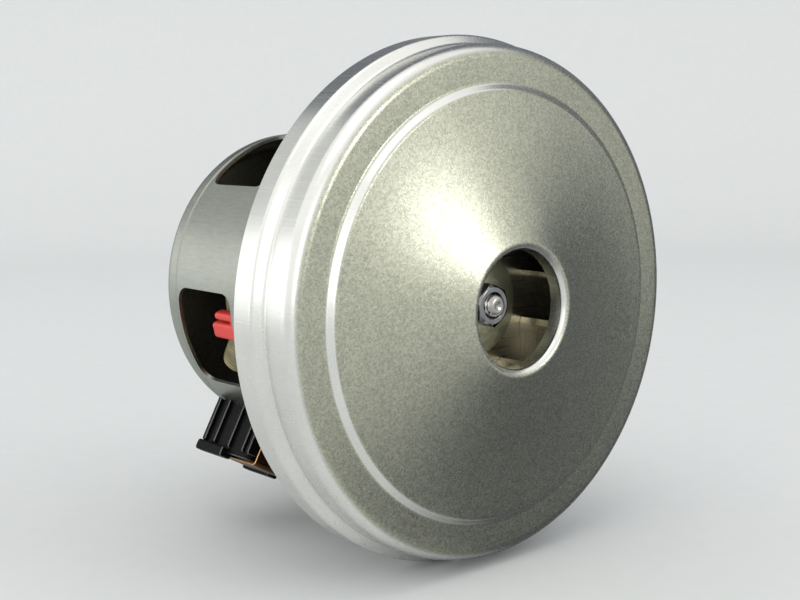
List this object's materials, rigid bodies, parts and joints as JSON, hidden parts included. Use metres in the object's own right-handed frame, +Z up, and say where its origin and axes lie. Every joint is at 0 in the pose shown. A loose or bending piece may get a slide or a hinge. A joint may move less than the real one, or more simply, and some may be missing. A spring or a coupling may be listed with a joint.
{
  "type": "vacuum cleaner motor",
  "caption": "Flow-through universal motor with a drawn sheet-metal fan cover, a windowed cup frame, a shrouded impeller and spring-loaded carbon brushes.",
  "frame": {"origin": "on the shaft axis, in the plane of the fan cover's rim edge", "axes": "the shaft lies along Y, the inlet faces -Y, +Z is up as pictured"},
  "size_m": [0.135, 0.1086, 0.135],
  "materials": {
    "galvanised_sheet": "satin",
    "bridge_steel": "satin",
    "screw_steel": "satin",
    "black_moulding": "satin",
    "red_moulding": "satin",
    "lamination_steel": "matte",
    "enamelled_copper": "gloss",
    "bearing_steel": "gloss",
    "shaft_steel": "satin",
    "impeller_aluminium": "satin",
    "zinc_plate": "satin",
    "phenolic": "satin",
    "insulating_paper": "matte",
    "copper": "satin",
    "brass_strip": "satin",
    "carbon": "matte",
    "spring_steel": "satin"
  },
  "bodies": {
    "housing": {"fan_cover": "galvanised_sheet", "motor_frame": "galvanised_sheet", "front_bracket": "bridge_steel", "bracket_screws": "screw_steel", "diffuser": "black_moulding", "stator_core": "lamination_steel", "field_coil_a": "enamelled_copper", "field_coil_b": "enamelled_copper", "coil_former_front": "red_moulding", "coil_former_rear": "red_moulding", "front_bearing_outer_race": "bearing_steel", "front_bearing_shields": "bridge_steel", "rear_bearing_outer_race": "bearing_steel", "rear_bearing_shields": "bridge_steel", "rear_wave_washer": "spring_steel", "brush_holder_a": "black_moulding", "brush_holder_b": "black_moulding", "brush_tube_a": "brass_strip", "brush_tube_b": "brass_strip", "brush_spring_a": "spring_steel", "brush_spring_b": "spring_steel", "brush_terminal_a": "brass_strip", "brush_terminal_b": "brass_strip"},
    "rotor": {"shaft": "shaft_steel", "armature_core": "lamination_steel", "armature_end_discs": "insulating_paper", "armature_winding": "enamelled_copper", "commutator_hub": "phenolic", "commutator_bars": "copper", "spacer_collar": "shaft_steel", "rear_clamp_washer": "zinc_plate", "impeller_back_plate": "impeller_aluminium", "impeller_blades": "impeller_aluminium", "impeller_front_plate": "impeller_aluminium", "clamp_washer": "zinc_plate", "lock_washer": "screw_steel", "impeller_nut": "screw_steel", "front_bearing_inner_race": "bearing_steel", "rear_bearing_inner_race": "bearing_steel"},
    "front_ball_set": {"front_bearing_balls": "bearing_steel", "front_bearing_cage": "bridge_steel"},
    "rear_ball_set": {"rear_bearing_balls": "bearing_steel", "rear_bearing_cage": "bridge_steel"},
    "brush_a": {"carbon_brush_a": "carbon"},
    "brush_b": {"carbon_brush_b": "carbon"}
  },
  "joints": [
    {"name": "rotor_spin", "type": "hinge", "parent": "housing", "child": "rotor", "pos_m": [0, 0, 0], "axis": [0, -1, 0], "continuous": true},
    {"name": "front_balls_roll", "type": "hinge", "parent": "housing", "child": "front_ball_set", "pos_m": [0, 0, 0], "axis": [0, -1, 0], "continuous": true},
    {"name": "rear_balls_roll", "type": "hinge", "parent": "housing", "child": "rear_ball_set", "pos_m": [0, 0, 0], "axis": [0, -1, 0], "continuous": true},
    {"name": "brush_a_slide", "type": "slide", "parent": "housing", "child": "brush_a", "axis": [0.4924, 0, 0.8704], "range_m": [0, 0.006], "stiffness_N_per_m": 100, "springref_m": -0.02, "deforming": ["brush_spring_a"]},
    {"name": "brush_b_slide", "type": "slide", "parent": "housing", "child": "brush_b", "axis": [-0.4924, 0, -0.8704], "range_m": [0, 0.006], "stiffness_N_per_m": 100, "springref_m": -0.02, "deforming": ["brush_spring_b"]}
  ],
  "couplings": [
    {"joint": "front_balls_roll", "follows": "rotor_spin", "ratio": 0.3677},
    {"joint": "rear_balls_roll", "follows": "rotor_spin", "ratio": 0.3677}
  ]
}
